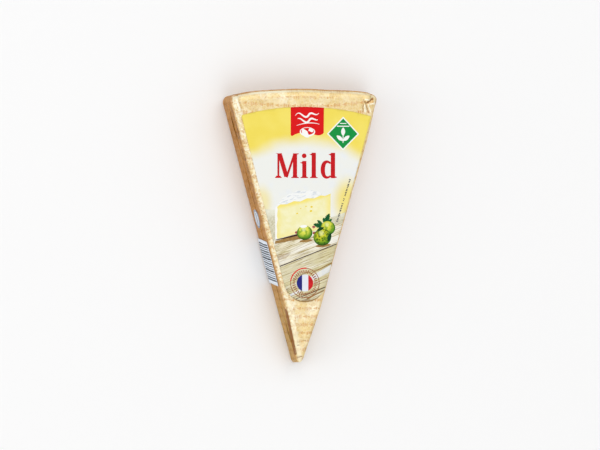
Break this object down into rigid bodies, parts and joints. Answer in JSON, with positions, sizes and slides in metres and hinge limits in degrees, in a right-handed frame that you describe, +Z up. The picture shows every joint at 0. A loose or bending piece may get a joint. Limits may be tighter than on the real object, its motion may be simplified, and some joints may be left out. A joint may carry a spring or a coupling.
{
  "type": "wrapped cheese wedge",
  "caption": "Wedge of soft white-rinded cheese in a folded gold paper wrapper, with a printed label on top and a small barcode label on its side.",
  "frame": {"origin": "middle of the base, on the surface the pack lies on", "axes": "+Y along the wedge from its tip to its rind, +Z up through the front label, +X to the right of the wedge when its rind points away"},
  "size_m": [0.0918, 0.1698, 0.0267],
  "materials": {
    "cheese": "matte",
    "foil_paper": "satin",
    "printed_label": "satin",
    "barcode_label": "matte"
  },
  "bodies": {
    "root": {"cheese_wedge": "cheese", "wrapper": "foil_paper", "front_label": "printed_label", "side_label": "barcode_label"}
  },
  "joints": []
}
